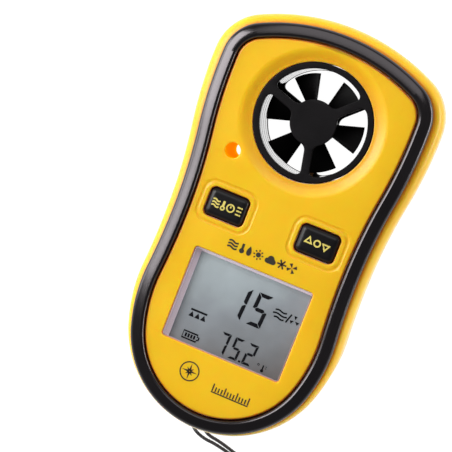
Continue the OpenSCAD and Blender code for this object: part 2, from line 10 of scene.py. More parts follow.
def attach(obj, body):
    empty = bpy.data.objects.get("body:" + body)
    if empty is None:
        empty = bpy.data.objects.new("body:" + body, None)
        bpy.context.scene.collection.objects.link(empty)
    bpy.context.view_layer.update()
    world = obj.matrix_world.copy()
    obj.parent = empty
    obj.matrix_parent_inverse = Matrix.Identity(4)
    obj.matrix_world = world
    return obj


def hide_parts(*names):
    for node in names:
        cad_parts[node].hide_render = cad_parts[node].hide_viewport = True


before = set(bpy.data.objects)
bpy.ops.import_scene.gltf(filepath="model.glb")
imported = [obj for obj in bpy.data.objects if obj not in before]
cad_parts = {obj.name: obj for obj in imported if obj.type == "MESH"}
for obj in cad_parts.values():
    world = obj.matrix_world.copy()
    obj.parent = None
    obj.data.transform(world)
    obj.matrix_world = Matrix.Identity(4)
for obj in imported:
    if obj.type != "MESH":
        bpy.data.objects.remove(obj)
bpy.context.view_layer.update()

MM = 0.001
FACE_Z = 19.2   # height of the face above the back
TAU = 2 * math.pi
scene = bpy.context.scene
scene.view_settings.view_transform = "Standard"

# ---- camera: turned a little to the side of and above the face, and rolled ----

FAN = (0.0, 28.3)
GUARD_Z = 18.1
ROLL, RISE, SIDEWAYS = -21.49, 6.45, -7.02   # degrees about Z, X and Y
FOCAL = 3.762   # focal length over the sensor's width
turn = (Matrix.Rotation(math.radians(ROLL), 3, "Z") @ Matrix.Rotation(math.radians(RISE), 3, "X")
        @ Matrix.Rotation(math.radians(SIDEWAYS), 3, "Y")).transposed()
aim = Vector((FAN[0], FAN[1], GUARD_Z)) * MM
seen_at = Vector((20.97, 24.83, -409.9)) * MM
camera = bpy.data.objects.new("camera", bpy.data.cameras.new("camera"))
scene.collection.objects.link(camera)
camera.matrix_world = Matrix.Translation(aim - turn @ seen_at) @ turn.to_4x4()
camera.data.sensor_width = 36
camera.data.lens = camera.data.sensor_width * FOCAL
camera.data.clip_start = 0.01
scene.camera = camera


# ---- materials ----

def node(nt, kind, settings=None, **values):
    """New shader node: its settings, then its inputs by name, with _ for a space."""
    new = nt.nodes.new("ShaderNode" + kind)
    for name, value in (settings or {}).items():
        setattr(new, name, value)
    for name, value in values.items():
        feed(nt, value, new.inputs[name.replace("_", " ")])
    return new


def feed(nt, value, socket):
    """Link value to the socket if it is a socket itself, or set it as the socket's own value."""
    if isinstance(value, bpy.types.NodeSocket):
        nt.links.new(value, socket)
    else:
        socket.default_value = value


def ramp(nt, fac, *stops):
    """Colour ramp with stops in rising order; gives its colour socket."""
    new = node(nt, "ValToRGB", Fac=fac)
    line = new.color_ramp.elements
    for i, (at, colour) in enumerate(stops):
        stop = line[i] if i < 2 else line.new(at)
        stop.position = at
        stop.color = (*colour, 1)
    return new.outputs["Color"]


def math_node(nt, operation, *values):
    new = node(nt, "Math", {"operation": operation})
    for value, socket in zip(values, new.inputs):
        feed(nt, value, socket)
    return new.outputs["Value"]


def ranged(nt, value, low, high, to_low=0.0, to_high=1.0):
    new = node(nt, "MapRange", Value=value, From_Min=low, From_Max=high, To_Min=to_low, To_Max=to_high)
    return new.outputs["Result"]


def mixed(nt, factor, a, b, blend="MIX"):
    new = node(nt, "Mix", {"data_type": "RGBA", "blend_type": blend}, Factor=factor, A=a, B=b)
    return new.outputs["Result"]


def material(name, base, rough, vary=0.06, grain=700, bump=0.15, rough_vary=0.06, metallic=0.0,
             coat=0.0, coat_rough=0.1, specular=0.5, streak=(1, 1, 1), extra=None):
    """Principled material whose colour, roughness and relief come from noise in object space."""
    m = bpy.data.materials.new(name)
    m.use_nodes = True
    nt = m.node_tree
    p = nt.nodes["Principled BSDF"]
    set_surface(m, metallic=metallic, coat_weight=coat, coat_roughness=coat_rough,
                specular_ior_level=specular)
    place = node(nt, "TexCoord").outputs["Object"]
    scale = node(nt, "Mapping", Scale=streak, Vector=place).outputs["Vector"]
    cloud = node(nt, "TexNoise", Scale=grain * 0.12, Detail=3, Vector=scale).outputs["Fac"]
    fine = node(nt, "TexNoise", Scale=grain * 6, Detail=4, Vector=scale).outputs["Fac"]
    dark, light = [[min(1, c * k) for c in base] for k in (1 - vary, 1 + vary)]
    tint = ramp(nt, cloud, (0.3, dark), (0.7, light))
    feed(nt, tint, p.inputs["Base Color"])
    feed(nt, ranged(nt, cloud, 0.3, 0.7, max(0.02, rough - rough_vary), min(1, rough + rough_vary)),
         p.inputs["Roughness"])
    relief = node(nt, "Bump", Strength=bump, Distance=0.00003, Height=fine)
    feed(nt, relief.outputs["Normal"], p.inputs["Normal"])
    if extra:
        extra(nt, p, place, tint, relief)
    return m


def set_surface(m, **values):
    """Uniform values of a material's shader, by input name in lower case with _ for a space."""
    sockets = {i.name.lower().replace(" ", "_"): i for i in m.node_tree.nodes["Principled BSDF"].inputs}
    for name, value in values.items():
        sockets[name].default_value = value


def braid(nt, p, place, tint, relief):
    """Crossed diagonal bands, for the string's plaited cover."""
    bands = node(nt, "TexWave", {"bands_direction": "DIAGONAL"}, Scale=900, Distortion=1.5, Vector=place)
    feed(nt, bands.outputs["Fac"], relief.inputs["Height"])
    relief.inputs["Distance"].default_value = 0.0001
    p.inputs["Sheen Weight"].default_value = 0.3


def display_painted_shade(nt, p, place, tint, relief):
    """Painted shade on the display: blue-grey at the upper left, cloudy, darker towards the lower right."""
    at = node(nt, "SeparateXYZ", Vector=place).outputs
    slant = math_node(nt, "MULTIPLY_ADD", at["Y"], -2.2, at["X"])
    cloud = node(nt, "TexNoise", Scale=130, Detail=2, Vector=place).outputs["Fac"]
    across = ranged(nt, math_node(nt, "MULTIPLY_ADD", cloud, 0.022, slant), 0.014, 0.1)
    # painted shade: the ramp darkens the display towards the lower right
    shade = ramp(nt, across, (0, (0.62, 0.71, 0.74)), (0.5, (0.33, 0.355, 0.385)), (1, (0.15, 0.143, 0.143)))
    feed(nt, mixed(nt, 1, shade, tint, "MULTIPLY"), p.inputs["Base Color"])


def painted_recess_shade(nt, p, place, tint, relief):
    """Painted shade: orange mixed into the yellow where the plastic is enclosed, found by ambient occlusion,
    and in the dish round the fan, standing in for shade and for light glowing through the translucent
    plastic.
    """
    height = node(nt, "SeparateXYZ", Vector=place).outputs["Z"]
    share = ranged(nt, height, 0.0, FACE_Z * MM)
    # painted shade: ambient occlusion picks the corners and recesses that turn orange
    open_air = node(nt, "AmbientOcclusion", {"samples": 6}, Distance=0.007).outputs["AO"]
    reach = ranged(nt, height, 0.016, 0.0175, 0.8, 0.985)
    # painted shade: more orange at the height of the dish round the fan
    painted_dish_shade = ramp(nt, share, (0.9, (1, 1, 1)), (0.945, (0.62, 0.62, 0.62)), (1, (1, 1, 1)))
    painted_shade_amount = math_node(nt, "MULTIPLY", ranged(nt, open_air, 0.6, reach), painted_dish_shade)
    # the orange mixed in here is painted shade, not a colour of the plastic
    feed(nt, mixed(nt, painted_shade_amount, (0.74, 0.19, 0.002, 1), tint), p.inputs["Base Color"])


# the case yellow carries painted shade in its recesses and in the fan dish
YELLOW = material("case_yellow", (0.83, 0.50, 0.007), 0.40, vary=0.03, grain=500, bump=0.12,
                  coat=0.08, coat_rough=0.25, specular=0.35, extra=painted_recess_shade)
set_surface(YELLOW, sheen_weight=0.5, sheen_roughness=0.3, subsurface_weight=0.6,
            subsurface_radius=(1.0, 0.3, 0.03), subsurface_scale=0.0025)
# painted glow: orange emission for the vent's inner wall, though nothing there is a lamp
PAINTED_VENT_GLOW = material("case_yellow_thin", (0.9, 0.5, 0.0), 0.7, vary=0.05, grain=500, bump=0.1, specular=0.0)
set_surface(PAINTED_VENT_GLOW, emission_color=(1.0, 0.42, 0.0, 1), emission_strength=0.22)
BAND = material("band_black", (0.0035, 0.0028, 0.003), 0.2, vary=0.3, grain=700, bump=0.12, specular=0.6,
                rough_vary=0.02)
set_surface(BAND, specular_tint=(1.0, 0.92, 0.96, 1))
GUARD = material("guard_black", (0.0035, 0.0028, 0.0034), 0.52, vary=0.3, grain=1100, bump=0.9, specular=0.13)
BLADE = material("blade_black", (0.0008, 0.0006, 0.0007), 0.4, vary=0.3, grain=600, bump=0.2, specular=0.05)
DUCT = material("duct_black", (0.012, 0.011, 0.012), 0.06, vary=0.2, grain=500, bump=0.03, specular=1.0,
                rough_vary=0.02, coat=1.0, coat_rough=0.03)
KEY = material("key_black", (0.004, 0.0034, 0.0038), 0.36, vary=0.2, grain=600, bump=0.06, specular=0.28)
LABEL = material("label_yellow", (0.66, 0.55, 0.12), 0.5, vary=0.06, grain=900)
PRINT = material("print_black", (0.016, 0.011, 0.003), 0.6, vary=0.1, grain=900)
SEGMENT = material("segment_black", (0.004, 0.004, 0.006), 0.5, vary=0.2, grain=900, specular=0.1)
DISPLAY = material("display_grey", (0.92, 0.94, 0.93), 0.42, vary=0.035, grain=2600, bump=0.08,
                   extra=display_painted_shade)
FRAME_PAINTED_GLOW = material("frame_lilac", (0.85, 0.77, 0.86), 0.55, vary=0.05, grain=700)
# painted glow: the lilac frame emits a little light so it reads brighter under the window
set_surface(FRAME_PAINTED_GLOW, emission_color=(0.85, 0.74, 0.84, 1), emission_strength=0.18)
STEEL = material("steel", (0.52, 0.52, 0.54), 0.3, metallic=1, grain=700, streak=(1, 1, 6))
SHAFT = material("shaft_steel", (0.7, 0.7, 0.72), 0.18, metallic=1, grain=900, streak=(1, 1, 8))
MAGNET = material("magnet", (0.07, 0.07, 0.075), 0.45, metallic=0.8, grain=900, vary=0.15, bump=0.4)
BRASS = material("bearing_brass", (0.62, 0.42, 0.15), 0.3, metallic=1, grain=900)
EPOXY = material("chip_black", (0.025, 0.025, 0.028), 0.55, grain=1200, vary=0.15, bump=0.4)
RIBBON = material("ribbon_amber", (0.16, 0.065, 0.012), 0.3, grain=700, vary=0.1)
BEAD = material("bead_resin", (0.03, 0.04, 0.12), 0.25, grain=700, vary=0.15)
BOARD = material("board_green", (0.02, 0.11, 0.045), 0.4, grain=900, vary=0.2, bump=0.3)
CERAMIC = material("ceramic", (0.34, 0.26, 0.17), 0.6, grain=1500, vary=0.2, bump=0.5)
ZEBRA = material("contact_rubber", (0.06, 0.06, 0.065), 0.6, grain=900, vary=0.3, streak=(9, 1, 1))
SWITCH = material("switch_grey", (0.07, 0.07, 0.075), 0.5, grain=900, vary=0.12)
STEM = material("stem_white", (0.66, 0.62, 0.54), 0.45, grain=900)
STRING = material("string_black", (0.02, 0.019, 0.021), 0.6, vary=0.25, grain=1500, bump=0.6, extra=braid)
GLASS = material("window_clear", (0.02, 0.021, 0.022), 0.04, vary=0.05, grain=60, bump=0.01, rough_vary=0.01)
set_surface(GLASS, alpha=0.05, ior=1.49)
# painted highlight: a pale half-clear material for the lens's edge, standing in for the bright line where
# light catches the glass edge
WINDOW_EDGE_PAINTED_HIGHLIGHT = material("window_rim", (0.75, 0.74, 0.78), 0.2, vary=0.05, grain=700, bump=0.05)
set_surface(WINDOW_EDGE_PAINTED_HIGHLIGHT, alpha=0.45)


# ---- mesh tools; lengths in millimetres ----

JOIN, SLIVER = 2e-7, 1e-8   # metres: points closer than this are one, shorter edges go


def cosd(a):
    return math.cos(math.radians(a))


def sind(a):
    return math.sin(math.radians(a))


class Build:
    """Collects loops of points and the faces between them, then becomes one closed mesh."""

    def __init__(self):
        self.points = []
        self.faces = []

    def loop(self, points):
        first = len(self.points)
        self.points += [tuple(p) for p in points]
        return list(range(first, len(self.points)))

    def band(self, a, b, closed=True):
        n = len(a)
        for i in range(n if closed else n - 1):
            j = (i + 1) % n
            self.faces.append((a[i], a[j], b[j], b[i]))

    def stack(self, loops, cap_first=False, cap_last=False):
        """Bands between successive loops of equal length."""
        made = [self.loop(p) for p in loops]
        for a, b in zip(made, made[1:]):
            self.band(a, b)
        if cap_first:
            self.faces.append(tuple(made[0]))
        if cap_last:
            self.faces.append(tuple(made[-1]))
        return made

    def plate(self, outer, holes=()):
        """Flat face inside an outer loop and round any holes; loops are lists of points."""
        groups = [[Vector(p) for p in outer]] + [[Vector(p) for p in h] for h in holes]
        first = len(self.points)
        for g in groups:
            self.points += [tuple(p) for p in g]
        self.faces += [tuple(first + i for i in t) for t in tessellate_polygon(groups)]

    def mesh(self, name, drop_slivers):
        """Mesh in metres of the faces so far, with its normals outward."""
        mesh = bpy.data.meshes.new(name)
        mesh.from_pydata([[c * MM for c in p] for p in self.points], [], self.faces)
        bm = bmesh.new()
        bm.from_mesh(mesh)
        bmesh.ops.remove_doubles(bm, verts=bm.verts, dist=JOIN)
        if drop_slivers:
            bmesh.ops.dissolve_degenerate(bm, edges=bm.edges, dist=SLIVER)
        bmesh.ops.recalc_face_normals(bm, faces=bm.faces)
        bm.to_mesh(mesh)
        bm.free()
        return mesh

    def piece(self, name, mat, body, replaces=(), sharp=32, weighted=True):
        mesh = self.mesh(name, drop_slivers=True)
        return finish_mesh(mesh, name, mat, body, replaces, sharp, weighted)


def finish_mesh(mesh, name, mat, body, replaces=(), sharp=32, weighted=True):
    """Shaded, linked object of a mesh that rides on a body and stands for the CAD nodes it replaces."""
    mesh.polygons.foreach_set("use_smooth", [True] * len(mesh.polygons))
    mesh.set_sharp_from_angle(angle=math.radians(sharp))
    mesh.materials.clear()
    mesh.materials.append(mat)
    obj = bpy.data.objects.new(name, mesh)
    scene.collection.objects.link(obj)
    if weighted:
        normals = obj.modifiers.new("flat_faces_first", "WEIGHTED_NORMAL")
        normals.keep_sharp = True
        normals.weight = 80
    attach(obj, body)
    if replaces:
        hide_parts(*replaces)
    return obj


def paint_vent_glow(obj):
    """Painted glow: the inside of the small vent takes an orange emitting material, standing in for light
    that comes through the thin plastic wall.
    """
    obj.data.materials.append(PAINTED_VENT_GLOW)
    for face in obj.data.polygons:
        reach = math.hypot(face.center.x / MM - VENT[0], face.center.y / MM - VENT[1])
        if reach < VENT_R + 0.05 and abs(face.normal.z) < 0.5:
            face.material_index = 1


def solid_of(build, operations):
    """The build's mesh after boolean steps with other builds."""
    def object_of(b, name):
        obj = bpy.data.objects.new(name, b.mesh(name, drop_slivers=False))
        scene.collection.objects.link(obj)
        return obj

    base = object_of(build, "base")
    tools = []
    for i, (kind, other) in enumerate(operations):
        tool = object_of(other, f"tool_{i}")
        tools.append(tool)
        step = base.modifiers.new(f"step_{i}", "BOOLEAN")
        step.operation = kind
        step.solver = "EXACT"
        step.object = tool
    depsgraph = bpy.context.evaluated_depsgraph_get()
    mesh = bpy.data.meshes.new_from_object(base.evaluated_get(depsgraph))
    for obj in [base] + tools:
        bpy.data.objects.remove(obj)
    return mesh


def circle(cx, cy, r, z, n=96):
    return [(cx + r * math.cos(TAU * i / n), cy + r * math.sin(TAU * i / n), z) for i in range(n)]


def rounded_rect(cx, cy, w, h, r, z, k=8):
    r = max(r, 0.02)
    out = []
    for qx, qy, a0 in ((1, 1, 0), (-1, 1, 90), (-1, -1, 180), (1, -1, 270)):
        for i in range(k + 1):
            a = math.radians(a0 + 90 * i / k)
            out.append((cx + qx * (w / 2 - r) + r * math.cos(a), cy + qy * (h / 2 - r) + r * math.sin(a), z))
    return out


def fillet(r, k=5):
    """(outward, downward) steps of a quarter round from a wall onto a flat face."""
    return [(r * (1 - cosd(90 * i / k)), r * (1 - sind(90 * i / k))) for i in range(k + 1)]


def turned(build, cx, cy, profile, n=128, close=False):
    """Surface of revolution from (radius, height) pairs; a radius of 0 at an end becomes a cap."""
    inner = [p for p in profile if p[0] > 0]
    made = build.stack([circle(cx, cy, r, z, n) for r, z in inner],
                       cap_first=profile[0][0] == 0, cap_last=profile[-1][0] == 0)
    if close:
        build.band(made[-1], made[0])
    return made


# ---- wrist string ----

STRING_D = 0.9
LIE = STRING_D / 2
COIL = (16.0, -70.0)
COIL_TURNS = 2.6
TURN_PITCH = 2.0
UPPER = [(0, -48.9, 5.4), (-0.4, -49.5, 6.8), (-0.7, -50.8, 7.3), (-1, -52.3, 6.9), (-1.2, -53.7, 5.7),
         (-1.3, -54.8, 4.1), (-1.1, -55.8, 2.3), (-0.5, -56.6, 1.1), (0.6, -57.3, LIE), (2.6, -57.8, LIE),
         (5, -58, LIE), (8, -58.5, LIE), (11, -59.2, LIE), (14, -59.9, LIE), (16.5, -60.3, LIE)]
LOWER = [(0, -48.9, 5.4), (0.4, -49.5, 4), (0.7, -50.8, 3.5), (1, -52.4, 3.2), (1.2, -53.8, 2.6),
         (1.5, -55, 1.5), (2.2, -56, 0.7), (3.6, -56.6, LIE), (5.6, -56.9, LIE), (8, -57.4, LIE),
         (11, -58.2, LIE), (14, -58.9, LIE), (16.5, -59.3, LIE)]


def smooth(route, k):
    """Points of a smooth curve through a route, with k steps between neighbours."""
    p = [Vector(q) for q in route]
    out = []
    for i in range(len(p) - 1):
        a, b, c, d = p[max(i - 1, 0)], p[i], p[i + 1], p[min(i + 2, len(p) - 1)]
        for j in range(k + (i == len(p) - 2)):
            t = j / k
            out.append(0.5 * (2 * b + (c - a) * t + (2 * a - 5 * b + 4 * c - d) * t ** 2
                              + (3 * b - a - 3 * c + d) * t ** 3))
    return out


def wound(start, per_turn=90):
    """Flat clockwise winding inwards from a point on the coil's rim, then in to the knot."""
    dx, dy = start[0] - COIL[0], start[1] - COIL[1]
    r0, a0 = math.hypot(dx, dy), math.atan2(dy, dx)
    n = int(COIL_TURNS * per_turn)
    spiral = [(r0 - TURN_PITCH * i / per_turn, a0 - TAU * i / per_turn) for i in range(1, n + 1)]
    r1, a1 = spiral[-1]
    curl = [(r1 + (1.25 - r1) * (i / 50) ** 1.15, a1 - TAU * 0.8 * i / 50) for i in range(1, 51)]
    return [Vector((COIL[0] + r * math.cos(a), COIL[1] + r * math.sin(a), LIE)) for r, a in spiral + curl]


def evenly(points, step):
    """The same chain with its points a fixed step apart."""
    out, left = [points[0]], step
    for a, b in zip(points, points[1:]):
        span = (b - a).length
        at = left
        while at <= span:
            out.append(a.lerp(b, at / span))
            at += step
        left = at - span
    return out + [points[-1]]


def plaited(name, points, closed=False, sides=12):
    """Tube of string along a chain of points, with the crossed ridges of its plaited cover."""
    b = Build()
    rings, run = [], 0.0
    n = len(points)
    for i, p in enumerate(points):
        before = points[i - 1] if closed or i else p
        after = points[(i + 1) % n] if closed or i < n - 1 else p
        along = (after - before).normalized()
        across = along.cross(Vector((0, 0, 1))).normalized()
        up = across.cross(along)
        ring = []
        for j in range(sides):
            a = TAU * j / sides
            ridge = abs(math.sin(a * 1.5 + run * 3.6)) * abs(math.sin(a * 1.5 - run * 3.6))
            ring.append(p + STRING_D / 2 * (0.93 + 0.07 * ridge) * (math.cos(a) * across + math.sin(a) * up))
        rings.append(ring)
        run += (after - p).length
    made = b.stack(rings, cap_first=not closed, cap_last=not closed)
    if closed:
        b.band(made[-1], made[0])
    return b.piece(name, STRING, "case", sharp=80, weighted=False)


def strand(name, route):
    """One strand from the lanyard bar to the knot, with the chain of points it follows."""
    points = evenly(smooth(route, 8) + wound(route[-1]), 0.2)
    return plaited(name, points), points


def knot_piece():
    """A three-lobed overhand knot pulled into a small ball."""
    points = []
    for i in range(120):
        t = TAU * i / 120
        r = 0.82 + 0.4 * math.cos(3 * t)
        z = 1.1 + 0.62 * math.sin(3 * t)
        points.append(Vector((COIL[0] + r * math.cos(2 * t), COIL[1] + r * math.sin(2 * t), z)))
    return plaited("string_knot_tied", points, closed=True)


def coil_tie():
    """A flat strap round all the turns of the coil, with its folded end on top."""
    inner_r, outer_r, half_w, under, over, strap = 4.7, 10.75, 0.9, 0.03, 0.94, 0.16
    hump = [(8.5, over + strap), (8.3, over + 2.4 * strap), (7.1, over + 2.4 * strap), (6.9, over + strap)]
    edge = over + 0.4 * strap
    outside = [(inner_r - strap, 0.01), (outer_r + strap, 0.01), (outer_r + strap, edge)]
    outside += [(outer_r, over + strap)] + hump + [(inner_r, over + strap), (inner_r - strap, edge)]
    inside = [(inner_r, under), (outer_r, under), (outer_r, over - 0.1), (outer_r - 0.1, over)]
    inside += [(r, over) for r, _ in hump] + [(inner_r + 0.1, over), (inner_r, over - 0.1)]
    b = Build()

    def across(section, y):
        return [(COIL[0] + r, COIL[1] + y, z) for r, z in section]

    made = b.stack([across(inside, -half_w), across(outside, -half_w),
                    across(outside, half_w), across(inside, half_w)])
    b.band(made[-1], made[0])
    return b.piece("string_coil_tie", STRING, "case")


upper, upper_path = strand("string_strand_upper", UPPER)
lower, lower_path = strand("string_strand_lower", LOWER)
knot = knot_piece()
tie = coil_tie()
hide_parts("string_upper", "string_coil")
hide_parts("string_lower")
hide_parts("string_knot")


# ---- outline of the face, as a chain of tangent arcs down its right half ----

FACE_TOP, FACE_BOTTOM = 47.0, -48.3
FAN_HALF, FAN_WIDE_Y, TOP_R, CORNER_R = 23.2, 33.3, 45.0, 6.2
WAIST_HALF, WAIST_Y = 20.6, -2.7
LOW_HALF, LOW_WIDE_Y, LOW_R = 21.5, -22.7, 37.0
CREST_Z, BUMPER_W, FLARE_FAN, FLARE_LOW = 20.0, 3.7, 2.75, 1.45
PART_Z, FLANK_Z, GROOVE_Z, CEILING, BACK_R, WALL, GAP = 9.0, 13.3, 16.6, 17.5, 4.0, 1.8, 0.15
END_TRIM, BULGE_SHARE = 0.4, 0.44


def meet(p, rp, q, rq):
    v = q - p
    d = v.length
    a = (rp * rp - rq * rq + d * d) / (2 * d)
    h = math.sqrt(rp * rp - a * a)
    return p + v * a / d + Vector((-v.y, v.x)) * h / d


def heading(v):
    return math.degrees(math.atan2(v.y, v.x))


def make_arcs():
    upper_sweep = ((FAN_WIDE_Y - WAIST_Y) ** 2 + (FAN_HALF - WAIST_HALF) ** 2) / (2 * (FAN_HALF - WAIST_HALF))
    lower_sweep = ((WAIST_Y - LOW_WIDE_Y) ** 2 + (LOW_HALF - WAIST_HALF) ** 2) / (2 * (LOW_HALF - WAIST_HALF))
    bulge_r = BULGE_SHARE * upper_sweep
    hollow_r = upper_sweep - bulge_r
    low_hollow_r = lower_sweep - LOW_R
    reach = LOW_WIDE_Y - FACE_BOTTOM
    end_r = (LOW_R ** 2 - (LOW_HALF - LOW_R) ** 2 - reach ** 2) / (2 * (LOW_R - reach))
    top_c = Vector((0, FACE_TOP - TOP_R))
    bulge_c = Vector((FAN_HALF - bulge_r, FAN_WIDE_Y))
    corner_c = meet(bulge_c, bulge_r - CORNER_R, top_c, TOP_R - CORNER_R)
    hollow_c = Vector((WAIST_HALF + hollow_r, WAIST_Y))
    low_hollow_c = Vector((WAIST_HALF + low_hollow_r, WAIST_Y))
    low_c = Vector((LOW_HALF - LOW_R, LOW_WIDE_Y))
    end_c = Vector((0, FACE_BOTTOM + end_r))
    a_top, a_corner = heading(corner_c - top_c), heading(corner_c - bulge_c)
    a_bulge, a_hollow = heading(hollow_c - bulge_c), heading(low_hollow_c - low_c)
    a_low = heading(end_c - low_c)
    return [(top_c, 1, TOP_R, 90, a_top, 14), (corner_c, 1, CORNER_R, a_top, a_corner, 20),
            (bulge_c, 1, bulge_r, a_corner, a_bulge, 14), (hollow_c, -1, hollow_r, a_bulge, 0, 10),
            (low_hollow_c, -1, low_hollow_r, 0, a_hollow, 7), (low_c, 1, LOW_R, a_hollow, a_low, 12),
            (end_c, 1, end_r, a_low, -90, 34)]


ARCS = make_arcs()


def flare(y, a):
    t = max(0.0, min(1.0, (y - FACE_BOTTOM) / (FAN_WIDE_Y - FACE_BOTTOM)))
    return FLARE_LOW + (FLARE_FAN - FLARE_LOW) * t - END_TRIM * abs(sind(a))


def outline(d, f, z):
    """Loop of the face's outline moved outwards by d plus f times the flare, at height z."""
    right = []
    for c, side, r, a0, a1, steps in ARCS:
        for i in range(steps):
            a = a0 + (a1 - a0) * i / steps
            unit = Vector((cosd(a), sind(a)))
            p = c + side * r * unit
            right.append(p + (d + f * flare(p.y, a)) * unit)
    foot = [(0.0, FACE_BOTTOM - d - f * flare(FACE_BOTTOM, 90), z)]
    left = [(-p.x, p.y, z) for p in reversed(right[1:])]
    return [(p.x, p.y, z) for p in right] + foot + left


# ---- the two shells ----

BORE_R, COLLAR_R, DISH_R, DISH_Z = 14.75, 16.15, 18.4, 18.2
VENT, VENT_R, VENT_OUT = (-15.6, 15.0), 1.9, 3.2
KEY_X, KEY_Y, KEY_W, KEY_H, KEY_R = 11.9, 1.7, 10.0, 7.1, 1.3
WINDOW = (0.0, -21.7)
WINDOW_W, WINDOW_H = 31.1, 23.6
SCREWS = [(20.2, 40.2), (-20.2, 40.2), (13.2, -40.8), (-13.2, -40.8)]
DOOR = (0.0, -21.0)
SEAM = 0.18


def front_case():
    b = Build()
    inside = BUMPER_W - WALL
    lip = 0.55
    outer = [(PART_Z, BUMPER_W - SEAM, 1), (PART_Z + SEAM, BUMPER_W, 1)]
    outer += [(FLANK_Z + (GROOVE_Z - FLANK_Z) * sind(t), BUMPER_W, cosd(t))
              for t in range(0, 91, 6)]
    outer += [(GROOVE_Z, -GAP, 0)]
    outer += [(FACE_Z - lip + lip * sind(t), -GAP - lip + lip * cosd(t), 0)
              for t in range(0, 91, 15)]
    made = b.stack([outline(d, f, z) for z, d, f in outer])
    cup = [(PART_Z, BUMPER_W - SEAM, 1), (PART_Z, inside, 1), (14.8, inside, 1), (14.8, -WALL - GAP, 0),
           (CEILING, -WALL - GAP, 0)]
    b.stack([outline(d, f, z) for z, d, f in cup])
    face_loop = [b.points[i] for i in made[-1]]
    holes = []
    # dish, bore and collar of the fan
    dish = [(BORE_R + 0.2 + (DISH_R - BORE_R - 0.2) * t / 90,
             DISH_Z + (FACE_Z - DISH_Z) * (1 - cosd(2 * t)) / 2) for t in range(90, -1, -6)]
    dish += [(BORE_R + 0.06, DISH_Z - 0.06), (BORE_R, DISH_Z - 0.2)]
    turned(b, *FAN, dish + [(BORE_R, PART_Z), (COLLAR_R, PART_Z), (COLLAR_R, CEILING)])
    holes.append(circle(*FAN, DISH_R, FACE_Z, 128))
    lip_r = 0.28
    edge = [(VENT_R + s, FACE_Z - t) for s, t in reversed(fillet(lip_r))]
    turned(b, *VENT, edge + [(VENT_R, PART_Z), (VENT_OUT, PART_Z), (VENT_OUT, CEILING)], n=64)
    holes.append(circle(*VENT, VENT_R + lip_r, FACE_Z, 64))
    under = [circle(*FAN, COLLAR_R, CEILING, 128), circle(*VENT, VENT_OUT, CEILING, 64)]
    islands = []
    for m in (-1, 1):
        c = (m * KEY_X, KEY_Y)
        lip_k = 0.35
        rings = [(s, FACE_Z - t) for s, t in reversed(fillet(lip_k))] + [(0, CEILING)]
        hole = [rounded_rect(*c, KEY_W + 0.4 + 2 * s, KEY_H + 0.4 + 2 * s, KEY_R + 0.2 + s, z)
                for s, z in rings]
        b.stack(hole)
        under.append(hole[-1])
        groove = [(0.5 - 0.5 * cosd(t), 0.07 * (1 - cosd(2 * t))) for t in range(0, 181, 15)]
        moat = [rounded_rect(*c, 14.5 - 2 * s, 11.3 - 2 * s, 3.3 - s, FACE_Z - depth) for s, depth in groove]
        b.stack(moat)
        holes.append(moat[0])
        islands.append((moat[-1], hole[0]))
    lip_w = 0.3
    rings = [(s, FACE_Z - t) for s, t in reversed(fillet(lip_w))] + [(0, CEILING)]
    opening = [rounded_rect(*WINDOW, WINDOW_W + 2 * s, WINDOW_H + 2 * s, 0.8 + s, z) for s, z in rings]
    b.stack(opening)
    holes.append(opening[0])
    under.append(opening[-1])
    b.plate(face_loop, holes)
    for outer_loop, inner_loop in islands:
        b.plate(outer_loop, [inner_loop])
    b.plate(outline(-WALL - GAP, 0, CEILING), under)
    paint_vent_glow(b.piece("front_case_moulding", YELLOW, "case", ["front_case"]))


